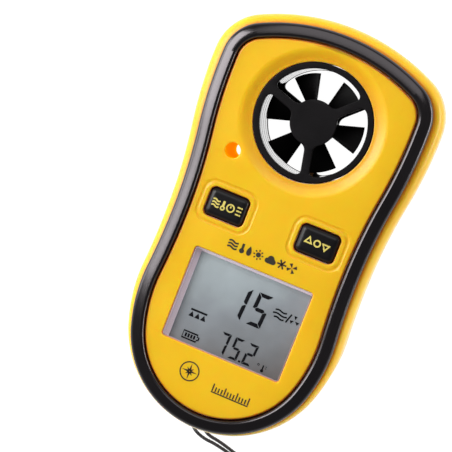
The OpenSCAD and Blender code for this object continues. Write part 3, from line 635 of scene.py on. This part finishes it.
def back_case():
    b = Build()
    inside = BUMPER_W - WALL
    outer = [(BACK_R - BACK_R * cosd(t), BUMPER_W - BACK_R + BACK_R * sind(t), 1)
             for t in range(0, 91, 6)]
    outer += [(PART_Z - SEAM, BUMPER_W, 1), (PART_Z, BUMPER_W - SEAM, 1)]
    outer += [(PART_Z, inside, 1), (WALL, inside, 1)]
    made = b.stack([outline(d, f, z) for z, d, f in outer])
    holes, inner = [], []
    edge = [(BORE_R + 1.07 + s, t) for s, t in reversed(fillet(0.3))]
    turned(b, *FAN, edge + [(BORE_R, 0.8), (BORE_R, PART_Z), (COLLAR_R, PART_Z), (COLLAR_R, WALL)])
    holes.append(circle(*FAN, edge[0][0], 0, 128))
    inner.append(circle(*FAN, COLLAR_R, WALL, 128))
    edge = [(VENT_R + s, t) for s, t in reversed(fillet(0.28))]
    turned(b, *VENT, edge + [(VENT_R, PART_Z), (VENT_OUT, PART_Z), (VENT_OUT, WALL)], n=64)
    holes.append(circle(*VENT, edge[0][0], 0, 64))
    inner.append(circle(*VENT, VENT_OUT, WALL, 64))
    for c in SCREWS:
        edge = [(2.2 + s, t) for s, t in reversed(fillet(0.3))]
        turned(b, *c, edge + [(2.2, 3.2), (1.3, 3.2), (1.3, PART_Z), (2.4, PART_Z), (2.4, WALL)], n=64)
        holes.append(circle(*c, edge[0][0], 0, 64))
        inner.append(circle(*c, 2.4, WALL, 64))

    def notched(r, r_notch, z, n=360):
        out = []
        for i in range(n):
            a = TAU * i / n
            tab = min(abs((math.degrees(a) - (45 + 120 * k) + 180) % 360 - 180) for k in range(3))
            t = max(0.0, min(1.0, 18 - tab + 0.5))
            q = r + (r_notch - r) * t
            out.append((DOOR[0] + q * math.cos(a), DOOR[1] + q * math.sin(a), z))
        return out

    door = [notched(12.4 + s, 13.6 + s, t) for s, t in reversed(fillet(0.2, 3))]
    door += [notched(12.4, 13.6, WALL), circle(*DOOR, 13.64, WALL, 360), circle(*DOOR, 13.64, 3.0, 360),
             circle(*DOOR, 10.5, 3.0, 360), circle(*DOOR, 10.5, 7.2, 360)]
    b.stack(door, cap_last=True)
    holes.append(door[0])
    b.stack([circle(*DOOR, 14.7, WALL, 128), circle(*DOOR, 14.7, 8.2, 128)], cap_last=True)
    inner.append(circle(*DOOR, 14.7, WALL, 128))
    b.plate([b.points[i] for i in made[0]], holes)
    b.plate(outline(inside, 1, WALL), inner)

    block = Build()
    block.stack([rounded_rect(0, -48.85, 9.4, 5.0, 0.4, z) for z in (1.5, 8.9)],
                cap_first=True, cap_last=True)
    pocket = Build()

    def mouth(y, grow):
        w, h, r = 7 + 2 * grow, 5.6 + 2 * grow, 1.0 + grow
        return [(x, y, z) for x, z, _ in rounded_rect(0, 5.4, w, h, r, 0)]

    depths = ((-47.6, -0.35), (-47.95, 0), (-52.6, 0), (-53.4, 0.25), (-56, 0.9))
    pocket.stack([mouth(y, grow) for y, grow in depths], cap_first=True, cap_last=True)
    mesh = solid_of(b, [("UNION", block), ("DIFFERENCE", pocket)])
    paint_vent_glow(finish_mesh(mesh, "back_case_moulding", YELLOW, "case", ["back_case"]))


def bumper():
    b = Build()
    crest_d, sag, drop, r_in, foot = 1.05, 0.7, 1.5, 0.9, GROOVE_Z + 0.02
    run = BUMPER_W - crest_d
    section = [(GAP, foot), (BUMPER_W - 0.05, foot), (BUMPER_W, foot + 0.1)]
    for t in range(0, 91, 5):
        x = math.sqrt(max(0.0, cosd(t)))
        rise = math.sqrt(sind(t))
        section.append((crest_d + run * x, CREST_Z - sag * x - drop * (1 - rise)))
    section += [(GAP + r_in + r_in * cosd(t), CREST_Z - r_in + r_in * sind(t))
                for t in range(99, 181, 9)]
    made = b.stack([outline(d, 0, z) for d, z in section])
    b.band(made[-1], made[0])
    b.piece("bumper_band_moulding", BAND, "case", ["bumper_band"])


# ---- fan ----

SPOKES = [43.0, 162.0, 282.0]
SPOKE_W = 2.1


def gap_loop(k, r_in, r_out):
    """Outline of the opening between spoke k and the next, with rounded corners."""
    a0, a1 = SPOKES[k], SPOKES[(k + 1) % 3] + (360 if k == 2 else 0)

    def arc(r, reverse):
        side = math.degrees(math.asin(SPOKE_W / 2 / r))
        lo, hi, n = math.radians(a0 + side), math.radians(a1 - side), 40
        turns = [lo + (hi - lo) * i / n for i in range(n + 1)]
        pts = [Vector((r * math.cos(t), r * math.sin(t))) for t in turns]
        return pts[::-1] if reverse else pts

    outer, inner = arc(r_out, False), arc(r_in, True)
    sides = [outer, [outer[-1].lerp(inner[0], i / 20) for i in range(21)], inner,
             [inner[-1].lerp(outer[0], i / 20) for i in range(21)]]
    cuts = [1.3, 1.5, 1.5, 1.3]
    out = []
    for i, side in enumerate(sides):
        start, end = cuts[i], cuts[(i + 1) % 4]
        run = [0.0]
        for p, q in zip(side, side[1:]):
            run.append(run[-1] + (q - p).length)
        kept = [p for p, s in zip(side, run) if start < s < run[-1] - end]
        out.append(kept)
    loop = []
    for i, kept in enumerate(out):
        loop += kept
        nxt, corner = out[(i + 1) % 4], sides[i][-1]
        for j in range(1, 9):
            t = j / 9
            loop.append((1 - t) ** 2 * kept[-1] + 2 * t * (1 - t) * corner + t * t * nxt[0])
    return loop


def moved_out(loop, d):
    n = len(loop)
    out = []
    for i in range(n):
        t = (loop[(i + 1) % n] - loop[i - 1]).normalized()
        out.append(loop[i] + d * Vector((t.y, -t.x)))
    return out


def lifted(loop, z):
    return [(FAN[0] + p.x, FAN[1] + p.y, z) for p in loop]


GUARD_R, GUARD_IN = 14.6, 13.3   # outer radius of both guards, and of the opening in them


def guard(name, face, back, ring_back, sign, hub, replaces, gap_r):
    """Ring, spokes and hub; the face plate is at height face and the spokes' inner side at back."""
    b = Build()
    soft = 0.22
    steps = [(s, face - sign * t) for s, t in reversed(fillet(soft, 4))]
    wall = [(GUARD_R - s, z) for s, z in steps]
    wall += [(GUARD_R, ring_back), (GUARD_IN, ring_back), (GUARD_IN, back)]
    turned(b, *FAN, wall, n=144)
    gaps = [gap_loop(k, gap_r, GUARD_IN - 0.15) for k in range(3)]
    tops, backs = [], []
    for g in gaps:
        rings = [lifted(moved_out(g, s), z) for s, z in steps]
        rings += [lifted(moved_out(g, 0.0), back + sign * 0.12), lifted(moved_out(g, 0.1), back)]
        b.stack(rings)
        tops.append(rings[0])
        backs.append(rings[-1])
    b.plate(circle(*FAN, GUARD_R - soft, face, 144), tops)
    b.plate(circle(*FAN, GUARD_IN, back, 144), backs + [circle(*FAN, hub[0][0], back, 96)])
    turned(b, *FAN, hub, n=96)
    return b.piece(name, GUARD, "case", replaces)


def front_guard():
    hub = [(5.3, 16.9), (5.3, 16.55), (5.15, 16.4), (2.2, 16.4)]
    hub += [(2.2, 15.9), (1.2, 15.9), (1.2, 17.3), (0, 17.3)]
    guard("fan_guard_front_moulding", GUARD_Z, 16.9, 16.5, 1, hub, ["fan_guard_front"], 5.7)


def rear_guard():
    hub = [(4.5, 2.4), (4.35, 10.5), (4.1, 10.8), (1.2, 10.8), (1.2, 9.4), (0, 9.4)]
    guard("fan_guard_rear_moulding", 0.8, 2.4, 2.4, -1, hub, ["fan_guard_rear"], 4.85)


def duct():
    b = Build()
    ridges = []
    for z in (15.4, 12.6, 9.0, 5.4):
        ridges += [(13.2, z + 0.3), (13.27, z + 0.22), (13.3, z), (13.27, z - 0.22), (13.2, z - 0.3)]
    turned(b, *FAN, [(13.2, 2.6), (13.35, 2.42), (14.5, 2.42), (14.6, 2.5), (14.6, 16.4), (14.5, 16.48),
                     (13.35, 16.48), (13.2, 16.3)] + ridges, n=144, close=True)
    b.piece("fan_duct_sleeve", DUCT, "case", ["fan_duct"])


def impeller():
    hub = Build()
    turned(hub, *FAN, [(0.5, 13.2), (3.2, 13.2), (3.2, 11.6), (5.15, 11.6), (5.33, 11.68), (5.4, 11.9),
                       (5.4, 15.2), (5.31, 15.5), (5.1, 15.65), (4.6, 15.7), (0.5, 15.7)], n=96, close=True)
    blades = Build()
    root_r, tip_r, low, high = 5.15, 12.1, 12.3, 15.9
    sweep, half = math.radians(33), 0.3
    n_u, n_r = 18, 10
    for k in range(6):
        def surface(i, j, side):
            u = i / n_u
            r = root_r + (tip_r - root_r) * j / n_r
            a = TAU * k / 6 + sweep * (0.5 - u)
            z = low + 0.06 + (high - low - 0.12) * u
            rim = math.sqrt(max(0.0, 1 - (2 * u - 1) ** 6))
            slope = Vector((r * math.sin(a) * sweep, -r * math.cos(a) * sweep, high - low))
            normal = slope.cross(Vector((math.cos(a), math.sin(a), 0))).normalized()
            p = Vector((FAN[0] + r * math.cos(a), FAN[1] + r * math.sin(a), z))
            p = p + side * half * max(rim, 0.12) * normal
            p.z = min(max(p.z, low), high)
            return p

        loop = [(i, 1) for i in range(n_u + 1)] + [(i, -1) for i in range(n_u, -1, -1)]
        rings = [[surface(i, j, side) for i, side in loop] for j in range(n_r + 1)]
        blades.stack(rings, cap_first=True, cap_last=True)
    mesh = solid_of(hub, [("UNION", blades)])
    finish_mesh(mesh, "impeller_rotor", BLADE, "impeller", ["impeller"], sharp=40)


# ---- keys, window and display ----

def key_height(inset):
    """Height of a key's pillow at a distance in from its edge."""
    t = max(0.0, min(1.0, inset / 1.5))
    crown = 0.12 * min(1.0, inset / 3.5)
    return 18.75 + 0.93 * (1 - (1 - t) ** 2.6) + crown


def key(name, body, m, replaces, icons):
    b = Build()
    c = (m * KEY_X, KEY_Y)

    def ring(s, z):
        return rounded_rect(*c, KEY_W - 2 * s, KEY_H - 2 * s, max(KEY_R - s * 0.7, 0.25), z)
    insets = [0, 0.06, 0.15, 0.28, 0.45, 0.65, 0.9, 1.2, 1.5, 1.9, 2.4, 2.9, 3.3]
    rings = [circle(*c, 1.6, 14.4, 36), circle(*c, 1.6, 16.4, 36)]
    rings += [rounded_rect(*c, 11.8, 8.9, 1.7, 16.4), rounded_rect(*c, 11.8, 8.9, 1.7, 17.1),
              rounded_rect(*c, 11.6, 8.7, 1.6, 17.2), ring(0, 17.2)]
    rings += [ring(s, key_height(s)) for s in insets]
    b.stack(rings, cap_first=True, cap_last=True)
    b.piece(name, KEY, body, replaces, weighted=False)
    label = Build()
    for shape in icons:
        pts = [(c[0] + x, c[1] + y) for x, y in shape["points"]]
        ribbon(label, pts, shape.get("w", 0.34), shape.get("closed", False),
               lambda x, y: key_height(min(KEY_W / 2 - abs(x - c[0]), KEY_H / 2 - abs(y - c[1]))), 0.02)
    label.piece(name + "_label", LABEL, body, weighted=False)


def ribbon(b, pts, width, closed, ground, lift):
    """Flat stroke of a given width that lies on a surface."""
    pts = [Vector(p) for p in pts]
    n = len(pts)
    left, right = [], []
    for i, p in enumerate(pts):
        before = pts[i - 1] if closed or i else p
        after = pts[(i + 1) % n] if closed or i < n - 1 else p
        t = (after - before).normalized()
        side = Vector((-t.y, t.x))
        if (closed or 0 < i < n - 1) and (p - before).length > 1e-6 and (after - p).length > 1e-6:
            half_angle = (p - before).angle(after - p) / 2
            side = side / max(0.5, math.cos(half_angle))
        left.append(p + side * width / 2)
        right.append(p - side * width / 2)

    def raised(q, up):
        return (q.x, q.y, ground(q.x, q.y) + up)
    rows = [[raised(q, -0.03) for q in right], [raised(q, lift) for q in right],
            [raised(q, lift) for q in left], [raised(q, -0.03) for q in left]]
    made = [b.loop(r) for r in rows]
    for i in range(4):
        b.band(made[i], made[(i + 1) % 4], closed)
    if not closed:
        b.faces.append(tuple(m[0] for m in made))
        b.faces.append(tuple(m[-1] for m in made))


def arc_points(cx, cy, r, a0, a1, n=16):
    return [(cx + r * cosd(a0 + (a1 - a0) * i / n),
             cy + r * sind(a0 + (a1 - a0) * i / n)) for i in range(n + 1)]


def ring_icon(cx, cy, r, w):
    return {"points": arc_points(cx, cy, r, 0, 360, 24)[:-1], "closed": True, "w": w}


def line_icon(*pts, w=0.34):
    return {"points": pts, "w": w}


def triangle_icon(cx, cy, r, up):
    """Outlined arrowhead that points up (1) or down (-1)."""
    return {"points": [(cx - r * 0.87, cy - up * r / 2), (cx, cy + up * r), (cx + r * 0.87, cy - up * r / 2)],
            "closed": True, "w": 0.36}


def wave_icon(cx, cy, length, height, w):
    n = 20
    points = [(cx - length / 2 + length * i / n, cy + height * math.sin(TAU * i / n)) for i in range(n + 1)]
    return {"points": points, "w": w}


def window():
    b = Build()
    w, h, top, base, flange_top = WINDOW_W - 0.2, WINDOW_H - 0.2, FACE_Z - 0.35, CEILING - 0.6, CEILING
    soft = 0.35
    rings = [rounded_rect(*WINDOW, WINDOW_W + 2, WINDOW_H + 2, 0.8, base),
             rounded_rect(*WINDOW, WINDOW_W + 2, WINDOW_H + 2, 0.8, flange_top),
             rounded_rect(*WINDOW, w, h, 0.7, flange_top)]
    for s, t in [(soft * cosd(a), soft * (1 - sind(a))) for a in range(0, 91, 18)]:
        cut = soft - s
        rings.append(rounded_rect(*WINDOW, w - 2 * cut, h - 2 * cut, max(0.7 - cut, 0.3),
                                  top - soft + (soft - t)))
    b.stack(rings, cap_first=True, cap_last=True)
    lens = b.piece("display_window_lens", GLASS, "case", ["display_window"])
    # painted highlight on the lens's sides, between the flange and the top face
    lens.data.materials.append(WINDOW_EDGE_PAINTED_HIGHLIGHT)
    for face in lens.data.polygons:
        z = face.center.z / MM
        if flange_top < z < top - 0.01:
            face.material_index = 1


def prism(b, pts, z0, z1):
    low = b.loop([(x, y, z0) for x, y in pts])
    high = b.loop([(x, y, z1) for x, y in pts])
    b.band(low, high)
    b.faces += [tuple(low), tuple(high)]


SEGMENTS = {"1": "bc", "2": "abged", "5": "afgcd", "7": "abc"}
INK_LOW, INK_TOP = 16.55, 16.6


def digit(b, char, x, y, w, h, t, lean=0.06):
    """Seven-segment figure with its lower left corner at x, y, leaning right."""
    g = t * 0.12
    m = h / 2

    def flat(y0, y1, left, right, nose_up, nose_down):
        return [(left, (y0 + y1) / 2), (left + nose_up, y1), (right - nose_up, y1), (right, (y0 + y1) / 2),
                (right - nose_down, y0), (left + nose_down, y0)]
    shapes = {
        "a": [(g, h), (w - g, h), (w - t - g, h - t), (t + g, h - t)],
        "d": [(g, 0), (w - g, 0), (w - t - g, t), (t + g, t)],
        "g": flat(m - t / 2, m + t / 2, t * 0.5 + g, w - t * 0.5 - g, t * 0.5, t * 0.5),
        "b": [(w, h - g), (w, m + g), (w - t / 2, m + g), (w - t, m + t / 2 + g), (w - t, h - t - g)],
        "f": [(0, h - g), (0, m + g), (t / 2, m + g), (t, m + t / 2 + g), (t, h - t - g)],
        "c": [(w, g), (w, m - g), (w - t / 2, m - g), (w - t, m - t / 2 - g), (w - t, t + g)],
        "e": [(0, g), (0, m - g), (t / 2, m - g), (t, m - t / 2 - g), (t, t + g)],
    }
    for name in SEGMENTS[char]:
        prism(b, [(x + px + lean * py, y + py) for px, py in shapes[name]], INK_LOW, INK_TOP)


def display_figures():
    b = Build()
    digit(b, "1", -2.75, -23.4, 3.65, 8.5, 0.95)
    digit(b, "5", 2.55, -23.4, 3.75, 8.5, 0.95)
    digit(b, "7", -2.15, -33.0, 2.45, 5.6, 0.6)
    digit(b, "5", 1.45, -33.0, 2.35, 5.6, 0.6)
    digit(b, "2", 5.1, -33.0, 2.45, 5.6, 0.6)
    prism(b, [(4.3, -33.0), (4.85, -33.0), (4.88, -32.5), (4.33, -32.5)], INK_LOW, INK_TOP)

    def ink(points, w, closed=False):
        ribbon(b, points, w, closed, lambda x, y: INK_LOW + 0.03, 0.02)
    # three peaks under a level line, where the reading's kind shows
    ink([(-11.2, -25.2), (-6.9, -25.2)], 0.5)
    for x in (-10.6, -9.05, -7.5):
        prism(b, [(x - 0.7, -27.0), (x + 0.7, -27.0), (x, -25.65)], INK_LOW, INK_TOP)
    # battery
    ink([(-10.9, -30.75), (-7.2, -30.75), (-7.2, -31.25), (-6.75, -31.25), (-6.75, -32.0), (-7.2, -32.0),
         (-7.2, -32.55), (-10.9, -32.55)], 0.28, True)
    for i in range(4):
        x = -10.35 + 0.74 * i
        prism(b, [(x, -32.15), (x + 0.48, -32.15), (x + 0.48, -31.15), (x, -31.15)], INK_LOW, INK_TOP)
    # wind lines and a small rotor, in place of the speed's unit
    for y, length in ((-17.3, 3.0), (-18.2, 3.7), (-19.1, 2.6)):
        ink(wave_icon(9.7, y, length, 0.18, 0.4)["points"], 0.4)
    ink([(11.6, -19.4), (12.4, -17.0)], 0.38)
    for k in range(3):
        a = math.radians(90 + 120 * k)
        ca, sa = math.cos(a), math.sin(a)
        blade = ((0.2, 0), (1.15, 0.5), (1.15, -0.35))
        prism(b, [(13.6 + r * ca - t * sa, -18.2 + r * sa + t * ca) for r, t in blade], INK_LOW, INK_TOP)
    # degree ring and a small thermometer, in place of the temperature's unit
    ink(arc_points(9.3, -31.55, 0.22, 0, 360, 14)[:-1], 0.15, True)
    ink([(10.6, -32.35), (10.6, -31.3)], 0.34)
    prism(b, arc_points(10.6, -32.72, 0.4, 0, 360, 16)[:-1], INK_LOW, INK_TOP)
    ink([(11.15, -31.45), (11.5, -31.45)], 0.16)
    ink([(11.15, -31.95), (11.5, -31.95)], 0.16)
    b.piece("display_figures", SEGMENT, "case", weighted=False)


def face_prints():
    """A row of weather pictograms, a small wind rose and a tick scale, printed on the face."""
    b = Build()

    def ink(points, w, closed=False):
        ribbon(b, points, w, closed, lambda x, y: FACE_Z, 0.02)

    def fill(points):
        prism(b, points, FACE_Z - 0.03, FACE_Z + 0.02)
    y = -6.25
    # waves
    for dy in (-0.75, 0, 0.75):
        ink(wave_icon(-7.1, y + dy, 2.5, 0.2, 0.42)["points"], 0.42)
    # thermometer
    ink([(-4.6, y - 0.2), (-4.6, y + 1.2)], 0.6)
    fill(arc_points(-4.6, y - 0.62, 0.62, 0, 360, 20)[:-1])
    # drop
    fill([(-2.8 + 0.78 * math.sin(t) * abs(math.sin(t / 2)) ** 0.9, y + 1.25 - 2.4 * (1 - math.cos(t)) / 2)
          for t in [TAU * i / 28 for i in range(28)]])
    # sun
    fill(arc_points(-0.4, y, 0.62, 0, 360, 20)[:-1])
    for k in range(8):
        ca, sa = math.cos(TAU * k / 8), math.sin(TAU * k / 8)
        ink([(-0.4 + 0.86 * ca, y + 0.86 * sa), (-0.4 + 1.28 * ca, y + 1.28 * sa)], 0.32)
    # cloud
    fill(arc_points(2.1, y - 0.35, 0.65, 90, 270, 10) + arc_points(3.6, y - 0.35, 0.65, -90, 60, 8)
         + arc_points(2.85, y + 0.2, 0.85, 20, 165, 12))
    # snow star
    for k in range(3):
        ca, sa = 1.2 * math.cos(TAU * k / 6), 1.2 * math.sin(TAU * k / 6)
        ink([(5.75 - ca, y - sa), (5.75 + ca, y + sa)], 0.38)
    # rotor
    for k in range(4):
        ca, sa = math.cos(TAU * k / 4 + 0.4), math.sin(TAU * k / 4 + 0.4)
        fill([(8.4 + 0.1 * ca, y + 0.1 * sa), (8.4 + 1.25 * ca - 0.5 * sa, y + 1.25 * sa + 0.5 * ca),
              (8.4 + 1.25 * ca + 0.35 * sa, y + 1.25 * sa - 0.35 * ca)])
    # wind rose at the lower left
    cx, cy = -5.6, -39.3
    ink(arc_points(cx, cy, 2.35, 0, 360, 48)[:-1], 0.3, True)
    for k in range(8):
        a = TAU * k / 8
        long = 2.0 if k % 2 == 0 else 1.25
        ca, sa = math.cos(a), math.sin(a)
        fill([(cx + 0.12 * ca - 0.3 * sa, cy + 0.12 * sa + 0.3 * ca), (cx + long * ca, cy + long * sa),
              (cx + 0.12 * ca + 0.3 * sa, cy + 0.12 * sa - 0.3 * ca)])
    # tick scale at the lower right
    for i in range(13):
        x = 1.3 + 0.78 * i
        ink([(x, -41.6), (x, -39.7 if i % 4 == 0 else -40.4)], 0.32)
    ink([(1.1, -41.85), (10.85, -41.85)], 0.3)
    b.piece("face_prints", PRINT, "case", weighted=False)


# ---- battery door ----

def battery_door():
    b = Build()
    cx, cy = DOOR
    slot_half, slot_w = 5.0, 1.8

    def slot(grow, z):
        return ([(cx + slot_half + (slot_w / 2 + grow) * cosd(a),
                  cy + (slot_w / 2 + grow) * sind(a), z) for a in range(-90, 91, 10)]
                + [(cx - slot_half - (slot_w / 2 + grow) * cosd(a),
                    cy + (slot_w / 2 + grow) * sind(a), z) for a in range(90, -91, -10)])

    def tabbed(r, r_tab, z, n=360):
        out = []
        for i in range(n):
            a = TAU * i / n
            off = min(abs((math.degrees(a) - (90 + 120 * k) + 180) % 360 - 180) for k in range(3))
            t = max(0.0, min(1.0, 15 - off + 0.5))
            q = r + (r_tab - r) * t
            out.append((cx + q * math.cos(a), cy + q * math.sin(a), z))
        return out
    outer = [circle(cx, cy, 12.2 - s, t, 360) for s, t in reversed(fillet(0.3, 4))]
    outer += [circle(cx, cy, 12.2, WALL - 0.01, 360), tabbed(11.4, 12.19, WALL), tabbed(11.4, 12.19, 1.9),
              tabbed(11.401, 13.3, 1.901), tabbed(11.401, 13.3, 2.7), tabbed(11.2, 11.3, 2.78),
              circle(cx, cy, 11.1, 2.8, 360)]
    b.stack(outer, cap_last=True)
    coin = [slot(s, t) for s, t in reversed(fillet(0.25, 4))] + [slot(0, 0.85), slot(-0.12, 1.0)]
    b.stack(coin, cap_last=True)
    dimple = [circle(cx, cy + 10.4, r, z, 32) for r, z in ((0.62, 0), (0.58, 0.15), (0.45, 0.3), (0.2, 0.4))]
    b.stack(dimple, cap_last=True)
    # finger ribs pressed into the face either side of the coin slot
    ribs = []
    for m in (-1, 1):
        for dy in (3.4, 4.7, 6.0):
            half = 5.2 - 0.5 * (dy - 3.4)
            rings = [rounded_rect(cx, cy + m * dy, 2 * half - 2 * s, 0.62 - 2 * s, 0.3 - s, z)
                     for s, z in ((0, 0), (0.06, 0.12), (0.16, 0.2))]
            b.stack(rings, cap_last=True)
            ribs.append(rings[0])
    b.plate(outer[0], [coin[0], dimple[0]] + ribs)
    b.piece("battery_door_lid", YELLOW, "battery_door", ["battery_door"])


front_case()
back_case()
bumper()
front_guard()
rear_guard()
duct()
impeller()
key("mode_key_cap", "mode_key", -1, ["mode_button"], [
    *[wave_icon(-2.75, y, 1.9, 0.2, 0.36) for y in (0.75, 0.0, -0.75)],
    line_icon((-0.85, -0.1), (-0.85, 1.15), w=0.6), ring_icon(-0.85, -0.62, 0.44, 0.36),
    ring_icon(1.05, 0.05, 0.9, 0.36), line_icon((1.05, 0.05), (1.05, 0.6), w=0.3),
    *[line_icon((2.6, y), (3.9, y), w=0.36) for y in (0.95, 0.05, -0.85)]])
key("set_key_cap", "set_key", 1, ["set_button"], [
    triangle_icon(-2.2, 0.0, 0.95, 1), ring_icon(0.0, 0.05, 0.75, 0.4), triangle_icon(2.2, 0.0, 0.95, -1)])
window()
display_figures()
face_prints()
battery_door()


# ---- finishes for the CAD nodes that stay ----

STAY = {
    "impeller_shaft": SHAFT, "rotor_magnet": MAGNET, "bearing_front": BRASS, "bearing_rear": BRASS,
    "hall_sensor": EPOXY, "sensor_ribbon": RIBBON, "thermistor": BEAD, "main_board": BOARD,
    "controller_chip": EPOXY, "clock_crystal": STEEL, "board_components": CERAMIC, "board_screws": STEEL,
    "display_frame": FRAME_PAINTED_GLOW, "display_glass": DISPLAY, "display_polariser": DISPLAY,
    "contact_strip_upper": ZEBRA, "contact_strip_lower": ZEBRA, "mode_switch": SWITCH, "set_switch": SWITCH,
    "mode_switch_stem": STEM, "set_switch_stem": STEM, "battery_cell": STEEL, "battery_spring": STEEL,
    "battery_clip": STEEL, "case_screws": STEEL, "lanyard_bar": GUARD,
}
for name, finish in STAY.items():
    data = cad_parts[name].data
    data.materials.clear()
    data.materials.append(finish)


# ---- floor and light ----

def floor():
    mesh = bpy.data.meshes.new("floor")
    r = 1.6
    mesh.from_pydata([(-r, -r, 0), (r, -r, 0), (r, r, 0), (-r, r, 0)], [], [(0, 1, 2, 3)])
    m = bpy.data.materials.new("floor_white")
    m.use_nodes = True
    set_surface(m, base_color=(0.1, 0.1, 0.1, 1), roughness=0.7,
                emission_color=(1, 1, 1, 1), emission_strength=1.0)
    mesh.materials.append(m)
    obj = bpy.data.objects.new("floor", mesh)
    scene.collection.objects.link(obj)


def softbox(name, side, up, out, size, power, tint=(1, 1, 1)):
    """Area light placed by how far it stands to the side, up and out from the face in the view's own axes."""
    data = bpy.data.lights.new(name, "AREA")
    data.shape = "RECTANGLE"
    data.size, data.size_y = size
    data.energy = power
    data.color = tint
    obj = bpy.data.objects.new(name, data)
    scene.collection.objects.link(obj)
    target = Vector((0, 0, 0.012))
    place = target + turn @ Vector((side, up, out))
    obj.location = place
    obj.rotation_euler = (target - place).to_track_quat("-Z", "Y").to_euler()


def sky():
    """Soft surround: light near the horizon and below it, dark overhead."""
    world = bpy.data.worlds.new("soft")
    world.use_nodes = True
    nt = world.node_tree
    height = node(nt, "SeparateXYZ", Vector=node(nt, "TexCoord").outputs["Generated"]).outputs["Z"]
    shade = ramp(nt, height, (0, (1.1, 1.1, 1.1)), (0.45, (0.16, 0.16, 0.17)))
    background = nt.nodes["Background"]
    feed(nt, shade, background.inputs["Color"])
    background.inputs["Strength"].default_value = 1.0
    scene.world = world


floor()
sky()
softbox("key_left", -0.56, 0.30, 0.48, (0.5, 0.40), 6.7)
softbox("rim_left", -0.8, 0.32, 0.14, (0.5, 0.3), 2.6)
softbox("top_fill", 0.1, 0.45, 0.6, (0.6, 0.4), 1.5)
softbox("rim_right", 0.75, -0.05, 0.14, (0.6, 0.16), 4.6)
